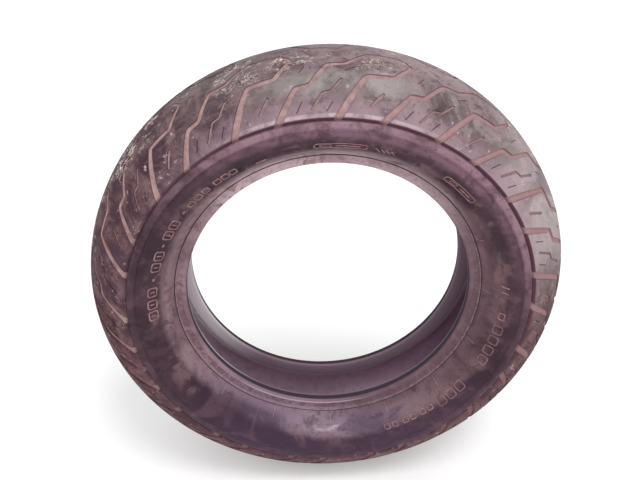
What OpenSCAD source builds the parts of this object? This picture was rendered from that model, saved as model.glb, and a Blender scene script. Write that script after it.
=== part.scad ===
// Motorcycle tire of nominal size 170/80-15, tubeless, bias ply with two breakers, worn to about a third of its tread.
// Row frame: origin at the centre of the tire, +Y along the spin axis, +Z up. The right side of the tire is -Y.
// A section is drawn as [y, r] pairs: y across the tire from its centre plane, r out from the spin axis.

/* [Bead] */
// Radius of the bead base, which seats on a 15 inch rim
seat_r = 190.1; // [189.8:0.1:190.4]
// Centre plane to the face that meets the rim flange
flange_y = 46.5; // [46:0.1:47.5]
// Rounding of the bead heel
heel_r = 4.5; // [3.5:0.1:4.6]
// Diameter of one bead wire
wire_d = 0.95; // [0.7:0.01:1]
// Columns of wires in the bead bundle
wire_columns = 4; // [3:1:4]
// Rows of wires in the bead bundle
wire_rows = 5; // [4:1:5]

/* [Tread] */
// Radius of the crown at the centre plane
crown_r = 321; // [320:0.5:324]
// Centre plane to the tread edge
tread_edge_y = 87.2; // [86.5:0.1:87.5]
// How far the crown falls from its centre to the reference half width
crown_drop = 52; // [51:0.5:53]
// Half width at which the crown has fallen by that drop
crown_ref_y = 88.5; // [88:0.1:89]
// Exponent of the crown curve
crown_power = 2.69; // [2.5:0.01:2.9]
// Tread cap thickness at the centre
cap_t = 6; // [5.5:0.1:6.5]
// Extra tread cap thickness at the edge
cap_edge_t = 2.5; // [2:0.1:3]
// Groove depth at the centre
groove_depth = 2.2; // [2:0.1:4]
// Extra groove depth at the tread edge
groove_edge_depth = 1.8; // [1:0.1:2.6]
// Pattern repeats round each half of the tread
pitches = 14; // [12:1:15]

/* [Layers] */
// Thickness of one carcass ply
ply_t = 0.8; // [0.7:0.05:0.9]
// Thickness of one breaker
breaker_t = 1; // [0.8:0.05:1.1]
// Thickness of the inner liner
liner_t = 1.4; // [1.2:0.05:1.6]
// Thickness of the chafer fabric
chafer_t = 0.8; // [0.6:0.05:0.9]
// Thickness of the flipper fabric round the bead bundle
flipper_t = 0.5; // [0.3:0.05:0.6]

/* [Hidden] */
$fn = 128;

RIGHT = -1;
LEFT = 1;

// Ply line: the face of the outer ply that meets the breakers, the filler and the flipper. It runs from the
// crown centre down the sidewall, round under the bead bundle and up again as the turn-up.
PLY_LINE = [
    [0, 310.4], [20, 309], [40, 302.6], [56, 291.8], [69, 277.5], [77, 265.8], [80.8, 255.5], [81.2, 246.5],
    [78.8, 239], [73, 232.4], [66, 227.2], [56, 220.5], [44.5, 214], [38, 209], [36, 203.5], [36, 198.4],
    [36.9, 196.4], [39, 195.6], [41.1, 196.4], [42, 198.4], [42, 203.5], [43.8, 206.8], [49, 210.8],
    [58.8, 217.2], [68.2, 225.6], [73.4, 231.4]
];
// Places along the ply line, as numbers of its points
AT_INNER_BREAKER_EDGE = 3.5;
AT_OUTER_BREAKER_EDGE = 3;
AT_SHOULDER = 5;
AT_FILLER_TIP = 9;
AT_LINER_EDGE = 13;
AT_BUNDLE_IN = 14;
AT_TOE = 15;
AT_BUNDLE_OUT = 20;
AT_FLIPPER_EDGE = 21;
AT_CHAFER_EDGE = 22;
AT_RIM_STRIP_EDGE = 23;
AT_INNER_PLY_END = 24;
AT_OUTER_PLY_END = 25;
SPAN_STEPS = 2;         // points drawn for each stretch of the ply line
CROWN_STEPS = 10;       // stretches of each half of the crown
HEEL_STEPS = 5;

// Outside of the section, from the tread edge to the bead
STEP_FOOT = [84.4, 265];                                             // foot of the step under the tread edge
SHOULDER_RIB = [[87.4, 264.6], [88.5, 262.6], [88.5, 257.6], [87.7, 256.4]];
SIDEWALL_CURVE = [[87.7, 255.5], [86.5, 232], [63, 212], [51, 206]];  // Bezier control points
SIDEWALL_STEPS = 8;
RIM_STRIP_STEP = 5;                                                  // where the sidewall rubber meets the rim strip
RIM_GUIDE_RIB = [[51.6, 204.9], [50.2, 204.2], [49.4, 205]];
FLANGE_TOP_R = 203.4;
BASE_IN_Y = 34;
TOE = [[33, 190.8], [32.6, 192.2]];

// Bead bundle
BUNDLE_Y = 39;
WIRE_PITCH_Y = 1.15;
WIRE_PITCH_R = 1.25;
TOP_WIRE_R = 202.6;
WIRE_SIDES = 8;         // sides of a wire's section

// Tread pattern of the right half, as [degrees from the groove's mouth, mm along the crown from its centre]
LOOP_GROOVE = [
    [0, 112], [-6.3, 53.5], [-12.6, 50.5], [-15.6, 30], [-16.4, 22], [-14.2, 6], [-7, 9], [-1.8, 35],
    [2.3, 37], [6.5, 66.5], [9.7, 69], [15.2, 112]
];
LOOP_WIDTH = [9.6, 6.4, 6, 5.2, 4.8, 4, 4, 4.8, 5.4, 5.6, 6, 9.2];    // groove width at each of those points
BOLT_SIPE = [[-0.7, 60], [1.7, 75.5], [3.6, 77], [6.4, 97]];
DASH_SIPE = [[-10.3, 75], [-7.7, 92]];
BOLT_WIDTH = 2.8;
DASH_WIDTH = 3.2;
PITCH_START = 11.3;     // angle of the first groove mouth
PITCH_SWING = 1.9;      // how far the pitches drift from even spacing, to spread the noise of the tread
PITCH_SWING_AT = 6.4;
HALF_PITCH_OFFSET = 0.5;
LONGEST_CUT = 20;       // grooves are cut in straight stretches of at most this length
CUT_HEADROOM = 7;

// ---- points along curves ----

function reversed(points) = [for (i = [len(points) - 1 : -1 : 0]) points[i]];
function unit(v) = v / norm(v);
function spline(a, b, c, d, t) =
    0.5 * (2 * b + (c - a) * t + (2 * a - 5 * b + 4 * c - d) * t * t + (3 * b - a - 3 * c + d) * t * t * t);
function smoothed(p) = [
    for (i = [0 : len(p) - 2], s = [0 : SPAN_STEPS - 1])
        spline(p[max(i - 1, 0)], p[i], p[i + 1], p[min(i + 2, len(p) - 1)], s / SPAN_STEPS),
    p[len(p) - 1]
];
function bezier(p, t) =
    pow(1 - t, 3) * p[0] + 3 * t * pow(1 - t, 2) * p[1] + 3 * t * t * (1 - t) * p[2] + pow(t, 3) * p[3];

// The whole ply line, from the left turn-up over the crown to the right one, is symmetric about its middle point.
half_line = smoothed(PLY_LINE);
half_count = len(half_line) - 1;
ply_line = concat(
    [for (i = [half_count : -1 : 1]) [-half_line[i][0], half_line[i][1]]],
    half_line
);
function at(place) = half_count + round(place * SPAN_STEPS);
function line_normal(i) =
    let (d = unit(ply_line[min(i + 1, len(ply_line) - 1)] - ply_line[max(i - 1, 0)])) [d[1], -d[0]];
// Point i of the ply line moved by d, away from the bundle: towards the air cavity, or out of the bead
function off(i, d) = ply_line[i] + d * line_normal(i);
function along(from, to, d) = [for (i = [at(from) : (from < to ? 1 : -1) : at(to)]) off(i, d)];

// ---- crown ----

function crown_at(y) = crown_r - crown_drop * pow(abs(y) / crown_ref_y, crown_power);
function crown_slope(y) =
    -sign(y) * crown_drop * crown_power / crown_ref_y * pow(abs(y) / crown_ref_y, crown_power - 1);
function crown_inward(y) = unit([crown_slope(y), -1]);
crown_ys = [for (i = [-CROWN_STEPS : CROWN_STEPS]) tread_edge_y * i / CROWN_STEPS];
crown_line = [for (y = crown_ys) [y, crown_at(y)]];
cap_floor = [
    for (y = crown_ys) [y, crown_at(y)] + crown_inward(y) * (cap_t + cap_edge_t * pow(y / tread_edge_y, 2))
];

// Distance along the crown against y, for placing the pattern
ARC_STEPS = 90;
arc_table = [
    for (i = 0, s = 0; i <= ARC_STEPS;
         s = s + norm([1, crown_at(i + 1) - crown_at(i)]), i = i + 1) [s, i]
];
function y_at_arc(s) = lookup(s, arc_table);

// ---- outside of the sidewall and bead, as points from the tread down ----

sidewall_line = [for (i = [0 : SIDEWALL_STEPS]) bezier(SIDEWALL_CURVE, i / SIDEWALL_STEPS)];
heel_line = [
    for (i = [0 : HEEL_STEPS]) let (a = 90 * i / HEEL_STEPS)
        [flange_y - heel_r + heel_r * cos(a), seat_r + heel_r - heel_r * sin(a)]
];
plies_t = 2 * ply_t;
chafer_out = plies_t + chafer_t;
liner_in = plies_t + liner_t;

// ---- rings ----

// A ring turned about the spin axis from a section that is drawn for the left side
module ring(section, side = LEFT) {
    turned = [for (p = section) [p[1], p[0] * side]];
    rotate([-90, 0, 0]) rotate_extrude() polygon(side == LEFT ? turned : reversed(turned));
}

// A layer that follows the ply line from the left to the right, between offsets d0 and d1
function layer(place, d0, d1) = concat(
    [for (i = [2 * half_count - at(place) : at(place)]) off(i, d0)],
    [for (i = [at(place) : -1 : 2 * half_count - at(place)]) off(i, d1)]
);

module tread_cap() {
    color("dimgray") difference() {
        ring(concat(reversed(cap_floor), [[-STEP_FOOT[0], STEP_FOOT[1]]], crown_line, [STEP_FOOT]));
        groove_cuts(RIGHT, 0);
        groove_cuts(LEFT, HALF_PITCH_OFFSET);
    }
}

module tread_base() {
    inner = at(AT_INNER_BREAKER_EDGE);
    outer = at(AT_OUTER_BREAKER_EDGE);
    shoulder = at(AT_SHOULDER);
    under_right = concat(
        [for (i = [shoulder : -1 : inner]) off(i, 0)],
        [for (i = [inner : -1 : outer]) off(i, -breaker_t)],
        [for (i = [outer : -1 : half_count]) off(i, -2 * breaker_t)]
    );
    under_left = [for (p = reversed(under_right)) if (p[0] > 0) [-p[0], p[1]]];
    color("gray") ring(concat(cap_floor, under_right, under_left));
}

module breaker_outer() {
    color("peru") ring(layer(AT_OUTER_BREAKER_EDGE, -2 * breaker_t, -breaker_t));
}

module breaker_inner() {
    color("sandybrown") ring(layer(AT_INNER_BREAKER_EDGE, -breaker_t, 0));
}

module ply_outer() {
    color("tan") ring(layer(AT_OUTER_PLY_END, 0, ply_t));
}

module ply_inner() {
    color("burlywood") ring(layer(AT_INNER_PLY_END, ply_t, plies_t));
}

module inner_liner() {
    color("slategray") ring(layer(AT_LINER_EDGE, plies_t, liner_in));
}

module sidewall(side) {
    section = concat(
        [STEP_FOOT], SHOULDER_RIB,
        [for (i = [0 : RIM_STRIP_STEP]) sidewall_line[i]],
        along(AT_RIM_STRIP_EDGE, AT_INNER_PLY_END, plies_t),
        along(AT_INNER_PLY_END, AT_OUTER_PLY_END, ply_t),
        [off(at(AT_OUTER_PLY_END), 0)],
        along(AT_FILLER_TIP, AT_SHOULDER, 0),
        [cap_floor[len(cap_floor) - 1]]
    );
    color("darkslategray") ring(section, side);
}

module rim_strip(side) {
    section = concat(
        [for (i = [RIM_STRIP_STEP : SIDEWALL_STEPS]) sidewall_line[i]],
        RIM_GUIDE_RIB, [[flange_y, FLANGE_TOP_R]], heel_line, [[BASE_IN_Y, seat_r]], TOE,
        [off(at(AT_TOE), liner_in), off(at(AT_BUNDLE_IN), liner_in), off(at(AT_LINER_EDGE), liner_in)],
        along(AT_LINER_EDGE, AT_CHAFER_EDGE, chafer_out),
        along(AT_CHAFER_EDGE, AT_RIM_STRIP_EDGE, plies_t)
    );
    color("black") ring(section, side);
}

module chafer(side) {
    section = concat(
        along(AT_LINER_EDGE, AT_CHAFER_EDGE, chafer_out),
        along(AT_CHAFER_EDGE, AT_LINER_EDGE, plies_t)
    );
    color("olive") ring(section, side);
}

module flipper(side) {
    section = concat(
        along(AT_LINER_EDGE, AT_FLIPPER_EDGE, 0),
        along(AT_FLIPPER_EDGE, AT_LINER_EDGE, -flipper_t)
    );
    color("khaki") ring(section, side);
}

module bead_filler(side) {
    section = concat(
        along(AT_FILLER_TIP, AT_LINER_EDGE, 0),
        along(AT_LINER_EDGE, AT_BUNDLE_IN, -flipper_t),
        along(AT_BUNDLE_OUT, AT_FLIPPER_EDGE, -flipper_t),
        along(AT_FLIPPER_EDGE, AT_OUTER_PLY_END, 0)
    );
    color("saddlebrown") ring(section, side);
}

function wire_centres() = [
    for (c = [0 : wire_columns - 1], r = [0 : wire_rows - 1])
        [BUNDLE_Y + (c - (wire_columns - 1) / 2) * WIRE_PITCH_Y, TOP_WIRE_R - r * WIRE_PITCH_R]
];

module wires(side) {
    for (p = wire_centres())
        rotate([-90, 0, 0]) rotate_extrude() translate([p[1], p[0] * side]) circle(d = wire_d, $fn = WIRE_SIDES);
}

module bead_insulation(side) {
    color("maroon") difference() {
        ring(along(AT_BUNDLE_IN, AT_BUNDLE_OUT, -flipper_t), side);
        wires(side);
    }
}

module bead_wires(side) {
    color("goldenrod") wires(side);
}

// ---- tread grooves ----

function pitch_angle(k) =
    PITCH_START + 360 / pitches * k + PITCH_SWING * cos(360 / pitches * (k - PITCH_SWING_AT));
// A pattern point on the crown: k is the pitch, which need not be whole, and p is [degrees, mm along the crown]
function on_crown(p, k, side) =
    let (a = pitch_angle(k) + p[0], y = side * y_at_arc(p[1]), r = crown_at(y)) [r * cos(a), y, r * sin(a)];
function crown_normal(q) =
    let (s = crown_slope(q[1]), a = atan2(q[2], q[0])) unit([cos(a), -s, sin(a)]);
function depth_at(s) = groove_depth + groove_edge_depth * pow(s / 109, 2);

// One straight cut from pattern point p to q, deep enough at its middle
module cut(p, q, width, k, side) {
    a = on_crown(p, k, side);
    b = on_crown(q, k, side);
    out = crown_normal((a + b) / 2);
    run = unit(b - a);
    across = unit(cross(out, run));
    up = cross(run, across);
    depth = depth_at((p[1] + q[1]) / 2);
    middle = on_crown((p + q) / 2, k, side);
    m = [for (i = [0 : 2]) [run[i], across[i], up[i], middle[i]]];
    multmatrix(concat(m, [[0, 0, 0, 1]]))
        translate([0, 0, (CUT_HEADROOM - depth) / 2])
            cube([norm(b - a) + width * 0.5, width, CUT_HEADROOM + depth], center = true);
}

module groove(points, widths, k, side) {
    for (i = [0 : len(points) - 2]) {
        pieces = ceil(norm(on_crown(points[i + 1], k, side) - on_crown(points[i], k, side)) / LONGEST_CUT);
        for (j = [0 : pieces - 1]) {
            t0 = j / pieces;
            t1 = (j + 1) / pieces;
            width = widths[i] + (widths[i + 1] - widths[i]) * (t0 + t1) / 2;
            step = points[i + 1] - points[i];
            cut(points[i] + step * t0, points[i] + step * t1, width, k, side);
        }
    }
}

module groove_cuts(side, offset) {
    for (n = [0 : pitches - 1]) {
        groove(LOOP_GROOVE, LOOP_WIDTH, n + offset, side);
        groove(BOLT_SIPE, [for (p = BOLT_SIPE) BOLT_WIDTH], n + offset, side);
        groove(DASH_SIPE, [for (p = DASH_SIPE) DASH_WIDTH], n + offset, side);
    }
}

tread_cap();
tread_base();
breaker_outer();
breaker_inner();
ply_outer();
ply_inner();
inner_liner();
sidewall(RIGHT);  // sidewall_right
sidewall(LEFT);  // sidewall_left
rim_strip(RIGHT);  // rim_strip_right
rim_strip(LEFT);  // rim_strip_left
chafer(RIGHT);  // chafer_right
chafer(LEFT);  // chafer_left
flipper(RIGHT);  // flipper_right
flipper(LEFT);  // flipper_left
bead_filler(RIGHT);  // bead_filler_right
bead_filler(LEFT);  // bead_filler_left
bead_insulation(RIGHT);  // bead_insulation_right
bead_insulation(LEFT);  // bead_insulation_left
bead_wires(RIGHT);  // bead_wires_right
bead_wires(LEFT);  // bead_wires_left
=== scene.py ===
"""Looks of the motorcycle tire: worn tread, moulded sidewalls, bead strips and liner.

Lengths are millimetres until a mesh is made. A section point is (y, r): y across the tire from its centre
plane, positive on the outside of the half it belongs to, and r out from the spin axis. A point on a skin is
(degrees, v): degrees round the axis from +X towards +Z, and v millimetres along the section line.
"""

import math

import bmesh
import bpy
import numpy as np
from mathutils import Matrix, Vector
from mathutils.geometry import delaunay_2d_cdt


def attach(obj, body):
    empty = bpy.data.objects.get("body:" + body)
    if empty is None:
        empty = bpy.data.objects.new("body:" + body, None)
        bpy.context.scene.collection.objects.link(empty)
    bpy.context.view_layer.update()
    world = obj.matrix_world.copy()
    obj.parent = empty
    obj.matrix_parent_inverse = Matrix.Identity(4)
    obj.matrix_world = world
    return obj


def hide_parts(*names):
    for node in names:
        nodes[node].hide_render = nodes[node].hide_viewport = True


MM = 0.001
RIGHT = -1
LEFT = 1

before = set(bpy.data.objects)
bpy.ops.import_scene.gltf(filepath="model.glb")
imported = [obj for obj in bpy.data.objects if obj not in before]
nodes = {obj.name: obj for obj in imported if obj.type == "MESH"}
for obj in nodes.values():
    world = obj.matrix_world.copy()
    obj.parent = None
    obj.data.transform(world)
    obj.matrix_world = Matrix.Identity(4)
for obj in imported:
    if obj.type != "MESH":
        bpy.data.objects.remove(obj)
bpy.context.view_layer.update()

# ---- sections, each from the crown to the bead ----

# the tread's outside: a flat crown that drops by CROWN_DROP at CROWN_REF_Y, a rounded edge and a step
CROWN_R = 321.0
CROWN_DROP = 52.0
CROWN_REF_Y = 88.5
CROWN_POWER = 2.69
TREAD_EDGE_Y = 86.7
EDGE_ROUNDING = [(87.05, 270.6), (87.2, 269.9), (87.0, 269.2)]
STEP_FOOT = (84.4, 265.0)
CAP_UNDERSIDE = [(76.0, 267.5), (69.0, 278.5), (55.0, 294.0), (38.0, 306.0), (20.0, 313.0), (0.0, 315.0)]

# the sidewall, whose curve goes on as the rim strip from RIM_STRIP_FROM of its length
LEDGE = [(80.0, 266.2), (83.6, 265.6)]
SHOULDER_RIB = [(85.6, 265.0), (87.0, 264.6), (88.1, 263.6), (88.5, 262.2), (88.5, 258.4), (88.3, 257.2)]
THIN_RIB = [(87.9, 256.4), (87.7, 254.2), (88.35, 253.7), (88.4, 253.2), (87.75, 252.6)]
SIDEWALL_CURVE = [(87.6, 252.4), (86.0, 231.0), (63.0, 212.0), (51.4, 206.4)]
SIDEWALL_BACK = [(77.5, 265.5), (80.9, 255.5), (81.3, 246.5), (79.5, 239.5), (74.6, 232.5), (66.0, 221.5)]
RIM_STRIP_FROM = 0.6

# the rim strip: its seam and rim guide rib, the flange face, the rounded heel and the toe
RIM_LINE = [
    (51.0, 206.0), (50.75, 205.5), (50.9, 205.1), (51.5, 205.0), (51.6, 204.6), (51.2, 204.1), (50.2, 203.8),
    (49.4, 204.3), (48.9, 204.3), (48.2, 203.6), (47.0, 202.9),
]
BEAD_FACE = [(46.6, 202.2), (46.5, 199.5), (46.5, 196.0)]
HEEL_R = 5.0
SEAT_R = 190.1
FLANGE_Y = 46.5
TOE = [
    (35.0, 190.1), (33.6, 190.5), (32.9, 191.2), (32.7, 192.2), (33.0, 195.5), (33.1, 203.0), (35.2, 209.6),
]
RIM_STRIP_BACK = [
    (37.0, 208.0), (35.2, 203.5), (35.2, 197.0), (38.5, 193.9), (43.4, 196.5), (45.0, 204.0), (58.5, 213.5),
]

# the liner's inside, for one half
LINER = [
    (0.0, 307.4), (20.0, 306.0), (39.5, 299.7), (55.0, 289.0), (67.0, 275.5), (74.2, 264.8), (77.8, 255.3),
    (78.2, 247.0), (76.2, 240.5), (71.2, 235.0), (64.4, 229.8), (54.6, 223.2), (43.0, 216.6), (36.4, 211.2),
    (34.4, 208.0),
]
LINER_T = 1.2


def crown(y):
    return CROWN_R - CROWN_DROP * (y / CROWN_REF_Y) ** CROWN_POWER


def evenly(count):
    """Degrees, count of them spread evenly round the axis."""
    return np.arange(count) * 360 / count


def bezier(points, t):
    a, b, c, d = (np.array(p) for p in points)
    return tuple((1 - t) ** 3 * a + 3 * t * (1 - t) ** 2 * b + 3 * t * t * (1 - t) * c + t**3 * d)


def spline(points, steps):
    """A smooth line through points, with steps short pieces between each two of them."""
    p = [np.array(q, float) for q in points]
    p = [2 * p[0] - p[1], *p, 2 * p[-1] - p[-2]]
    line = []
    for a, b, c, d in zip(p, p[1:], p[2:], p[3:]):
        for t in np.arange(steps) / steps:
            bend = (2 * a - 5 * b + 4 * c - d) * t * t + (3 * b - a - 3 * c + d) * t**3
            line.append(0.5 * (2 * b + (c - a) * t + bend))
    return [*line, p[-2]]


def inward(line):
    """The direction into the rubber at each point of a section line that runs from the crown to the bead."""
    run = np.gradient(np.array(line, float), axis=0)
    run /= np.linalg.norm(run, axis=1, keepdims=True)
    return np.c_[run[:, 1], -run[:, 0]]


class Skin:
    """A section line and the line that its relief reaches.

    v runs along the first, and t goes from it (0) to the other (1).
    """

    def __init__(self, line, relief):
        self.line = np.array(line, float)
        self.relief = np.array(relief, float)
        self.v = np.r_[0, np.cumsum(np.linalg.norm(np.diff(self.line, axis=0), axis=1))]

    def at(self, v, t):
        y = np.interp(v, self.v, self.line[:, 0])
        r = np.interp(v, self.v, self.line[:, 1])
        relief_y = np.interp(v, self.v, self.relief[:, 0])
        relief_r = np.interp(v, self.v, self.relief[:, 1])
        return y + t * (relief_y - y), r + t * (relief_r - r)

    def radius(self, v):
        return np.interp(v, self.v, self.line[:, 1])

    def v_at_radius(self, r, after=0.0):
        """The place after the given one where the line comes down to radius r."""
        return float(next(v for v, p in zip(self.v, self.line) if v >= after and p[1] <= r))


# ---- relief: strokes sunk into or raised from a skin ----

SPACING = 3.0
CAP_ANGLES = (72, 36, 0, -36, -72)
CORNER_STEPS = (0, 0.33, 0.67, 1)
CORNER_SHARE = 0.45  # the most of a side that one rounded corner takes
ABOUT_MM = (5, 1)  # a degree and a millimetre, both in millimetres, near enough to round a corner by
THINNEST = 0.12
GRID_GAP = 0.7  # how clear of a stroke the skin's own grid stays
SAME_PLACE = 0.002


def rounded(path, reach):
    """The path with each inner corner replaced by a short arc that starts reach before it."""
    path = [np.array(p, float) for p in path]
    out = [path[0]]
    for before, corner, after in zip(path, path[1:], path[2:]):
        a, b = (
            corner + (end - corner) * min(CORNER_SHARE, reach / np.linalg.norm((end - corner) * ABOUT_MM))
            for end in (before, after)
        )
        out += [a * (1 - t) ** 2 + 2 * corner * t * (1 - t) + b * t * t for t in CORNER_STEPS]
    return np.array([*out, path[-1]])


def densified(points, skin):
    """The same line with points at most SPACING apart."""
    out = [points[0]]
    for a, b in zip(points, points[1:]):
        scale = math.radians(1) * float(skin.radius((a[1] + b[1]) / 2))
        pieces = max(1, math.ceil(math.hypot((b[0] - a[0]) * scale, b[1] - a[1]) / SPACING))
        out += [a + (b - a) * (i + 1) / pieces for i in range(pieces)]
    return np.array(out)


def frames(path, skin, closed):
    """Each point's millimetres per degree and mitred direction across the path, and each step's direction."""
    scale = np.radians(1) * skin.radius(path[:, 1])
    step = np.roll(path, -1, axis=0) - path if closed else np.diff(path, axis=0)
    mean = (scale + np.roll(scale, -1)) / 2 if closed else (scale[1:] + scale[:-1]) / 2
    run = np.c_[step[:, 0] * mean, step[:, 1]]
    run /= np.linalg.norm(run, axis=1, keepdims=True)
    across = np.c_[-run[:, 1], run[:, 0]]
    before = np.roll(across, 1, axis=0) if closed else np.r_[across[:1], across]
    after = across if closed else np.r_[across, across[-1:]]
    return scale, (before + after) / (1 + np.sum(before * after, axis=1, keepdims=True)), run


def clipped(side, end_v):
    """A line whose two ends lie past v = end_v, cut off there."""
    inside = np.flatnonzero(side[:, 1] < end_v)
    first, last = inside[0], inside[-1]

    def crossing(a, b):
        return a + (b - a) * (end_v - a[1]) / (b[1] - a[1])

    start = crossing(side[first - 1], side[first])
    end = crossing(side[last], side[last + 1])
    return np.r_[[start], side[first : last + 1], [end]]


class Stroke:
    """A line of the given half width on a skin, sunk or raised in levels.

    levels are (how far outside that width, t) pairs, from the outside in. A closed stroke is a loop, and a
    through one leaves the skin over its far edge at both ends.
    """

    def __init__(self, path, half, levels, closed=False, through=False):
        self.path = np.array(path, float)
        self.half = np.broadcast_to(np.array(half, float), (len(self.path),)).copy()
        self.levels = levels
        self.closed = closed
        self.through = through

    def turned(self, degrees):
        return Stroke(self.path + (degrees, 0), self.half, self.levels, self.closed, self.through)

    def outlines(self, skin):
        """Each level's lines as (points, t, whether closed)."""
        scale, across, run = frames(self.path, skin, self.closed)
        for grow, t in self.levels:
            half = np.maximum(self.half + grow, THINNEST)
            move = across * half[:, None]
            move[:, 0] /= scale
            left, right = self.path + move, self.path - move
            if self.closed:
                yield np.r_[left, left[:1]], t, True
                yield np.r_[right, right[:1]], t, True
            elif self.through:
                yield clipped(left, skin.v[-1]), t, False
                yield clipped(right, skin.v[-1]), t, False
            else:
                start = self.cap(0, -run[0], half[0], scale[0])
                end = self.cap(-1, run[-1], half[-1], scale[-1])
                yield np.r_[left, end, right[::-1], start, left[:1]], t, True

    def cap(self, index, out, half, scale):
        """The round end of a stroke, from its left side to its right as seen along out."""
        side = np.array([-out[1], out[0]])
        turn = [side * math.sin(math.radians(a)) + out * math.cos(math.radians(a)) for a in CAP_ANGLES]
        return np.array([self.path[index] + np.array([d[0] / scale, d[1]]) * half for d in turn])

    def near(self, degrees, v, skin, margin):
        """Which of the points lie on the stroke or within margin of it."""
        points = np.r_[self.path, self.path[:1]] if self.closed else self.path
        half = np.r_[self.half, self.half[:1]] if self.closed else self.half
        middle = points[:, 0].mean()
        x = (degrees - middle + 180) % 360 - 180
        scale = math.radians(1) * skin.radius(v)
        hit = np.zeros(len(degrees), bool)
        for a, b, ha, hb in zip(points, points[1:], half, half[1:]):
            ax, bx = (a[0] - middle) * scale, (b[0] - middle) * scale
            dx, dv = bx - ax, b[1] - a[1]
            length = np.maximum(dx * dx + dv * dv, 1e-9)
            s = np.clip(((x * scale - ax) * dx + (v - a[1]) * dv) / length, 0, 1)
            gap = np.hypot(x * scale - ax - s * dx, v - a[1] - s * dv)
            hit |= gap < ha + s * (hb - ha) + margin
        return hit


SHARP_DEG = 38


class Shell:
    """Vertices and faces of one closed ring-shaped piece. Each vertex has a relief value."""

    def __init__(self):
        self.points, self.relief, self.faces = [], [], []

    def add(self, points, relief):
        start = len(self.points)
        self.points += [tuple(p) for p in points]
        self.relief += list(relief)
        return list(range(start, len(self.points)))

    def ring(self, y, r, degrees):
        a = np.radians(degrees)
        y = np.broadcast_to(y, a.shape)
        return self.add(np.c_[r * np.cos(a), y, r * np.sin(a)], np.zeros(len(a)))

    def zip(self, ring_a, angles_a, ring_b, angles_b):
        """Joins two rings of vertices, which may have different numbers of them, with triangles."""
        a = sorted(zip(angles_a, ring_a))
        b = sorted(zip(angles_b, ring_b))
        a.append((a[0][0] + 360, a[0][1]))
        b.append((b[0][0] + 360, b[0][1]))
        i = j = 0
        while i < len(a) - 1 or j < len(b) - 1:
            if j == len(b) - 1 or (i < len(a) - 1 and a[i + 1][0] <= b[j + 1][0]):
                self.faces.append((a[i][1], a[i + 1][1], b[j][1]))
                i += 1
            else:
                self.faces.append((a[i][1], b[j + 1][1], b[j][1]))
                j += 1

    def strip(self, ring_a, ring_b):
        n = len(ring_a)
        self.faces += [(ring_a[i], ring_a[(i + 1) % n], ring_b[(i + 1) % n], ring_b[i]) for i in range(n)]

    def relief_skin(self, skin, side, rows, count, strokes):
        """Covers a skin with triangles that follow the strokes, and returns its first and last rings.

        A ring is (vertices, degrees). The skin is laid flat as a disc, triangulated there and put back.
        """
        outer = skin.v[-1] + skin.line[-1][1]
        even = evenly(count)
        deg, v, t, edges = [], [], [], []

        def put(d, w, level):
            deg.append(d)
            v.append(w)
            t.append(level)
            return len(deg) - 1

        grid_d = np.tile(even, len(rows))
        grid_v = np.repeat(rows, count)
        last = grid_v >= skin.v[-1] - 1e-6
        keep = np.ones(len(grid_d), bool)
        mouths = []
        for stroke in strokes:
            keep &= ~stroke.near(grid_d, grid_v, skin, stroke.levels[0][0] + GRID_GAP)
            for points, level, closed in stroke.outlines(skin):
                line = densified(points, skin)
                ids = [put(d, w, level) for d, w in (line[:-1] if closed else line)]
                edges += list(zip(ids, ids[1:]))
                if closed:
                    edges.append((ids[-1], ids[0]))
                else:
                    mouths += [ids[0], ids[-1]]
        first_ids = []
        for d, w, is_last, kept in zip(grid_d, grid_v, last, keep):
            if kept:
                index = put(d, w, 0.0)
                if is_last:
                    mouths.append(index)
                elif w == rows[0]:
                    first_ids.append(index)
        mouths.sort(key=lambda i: deg[i] % 360)
        edges += list(zip(mouths, mouths[1:] + mouths[:1]))
        edges += list(zip(first_ids, first_ids[1:] + first_ids[:1]))
        angle = np.radians(deg)
        rho = outer - np.array(v)
        plane = [Vector(p) for p in zip(rho * np.cos(angle), rho * np.sin(angle))]
        _, _, faces, origins, _, _ = delaunay_2d_cdt(plane, edges, [], 0, 1e-5, True)
        first = [o[0] for o in origins]
        on_last = np.zeros(len(deg), bool)
        on_last[mouths] = True
        y, r = skin.at(np.array(v), np.array(t))
        ids = self.add(np.c_[r * np.cos(angle), side * y, r * np.sin(angle)], t)
        for face in faces:
            corners = [first[i] for i in face]
            if not on_last[corners].all():
                self.faces.append(tuple(ids[i] for i in corners))
        return (
            ([ids[i] for i in first_ids], [deg[i] for i in first_ids]),
            ([ids[i] for i in mouths], [deg[i] % 360 for i in mouths]),
        )

    def back(self, line, side, count, start, end=None):
        """The hidden side of the piece: rings along line, joined to the open rings start and end."""
        even = evenly(count)
        rings = [self.ring(side * y, r, even) for y, r in line]
        for a, b in zip(rings, rings[1:]):
            self.strip(a, b)
        self.zip(*start, rings[0], even)
        if end:
            self.zip(*end, rings[-1], even)

    def build(self, name, material):
        mesh = bpy.data.meshes.new(name)
        mesh.from_pydata([[c * MM for c in p] for p in self.points], [], self.faces)
        values = mesh.attributes.new("relief", "FLOAT", "POINT")
        values.data.foreach_set("value", np.array(self.relief, np.float32))
        bm = bmesh.new()
        bm.from_mesh(mesh)
        bmesh.ops.remove_doubles(bm, verts=bm.verts, dist=SAME_PLACE * MM)
        loose = [v for v in bm.verts if not v.link_faces]
        bmesh.ops.delete(bm, geom=loose, context="VERTS")
        bmesh.ops.recalc_face_normals(bm, faces=bm.faces)
        open_edges = sum(1 for e in bm.edges if len(e.link_faces) != 2)
        print(f"{name}: {len(bm.faces)} faces, {open_edges} open edges")
        bm.to_mesh(mesh)
        bm.free()
        mesh.shade_smooth()
        mesh.set_sharp_from_angle(angle=math.radians(SHARP_DEG))
        mesh.materials.append(material)
        piece = bpy.data.objects.new(name, mesh)
        bpy.context.scene.collection.objects.link(piece)
        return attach(piece, "root")


# ---- materials ----


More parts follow.
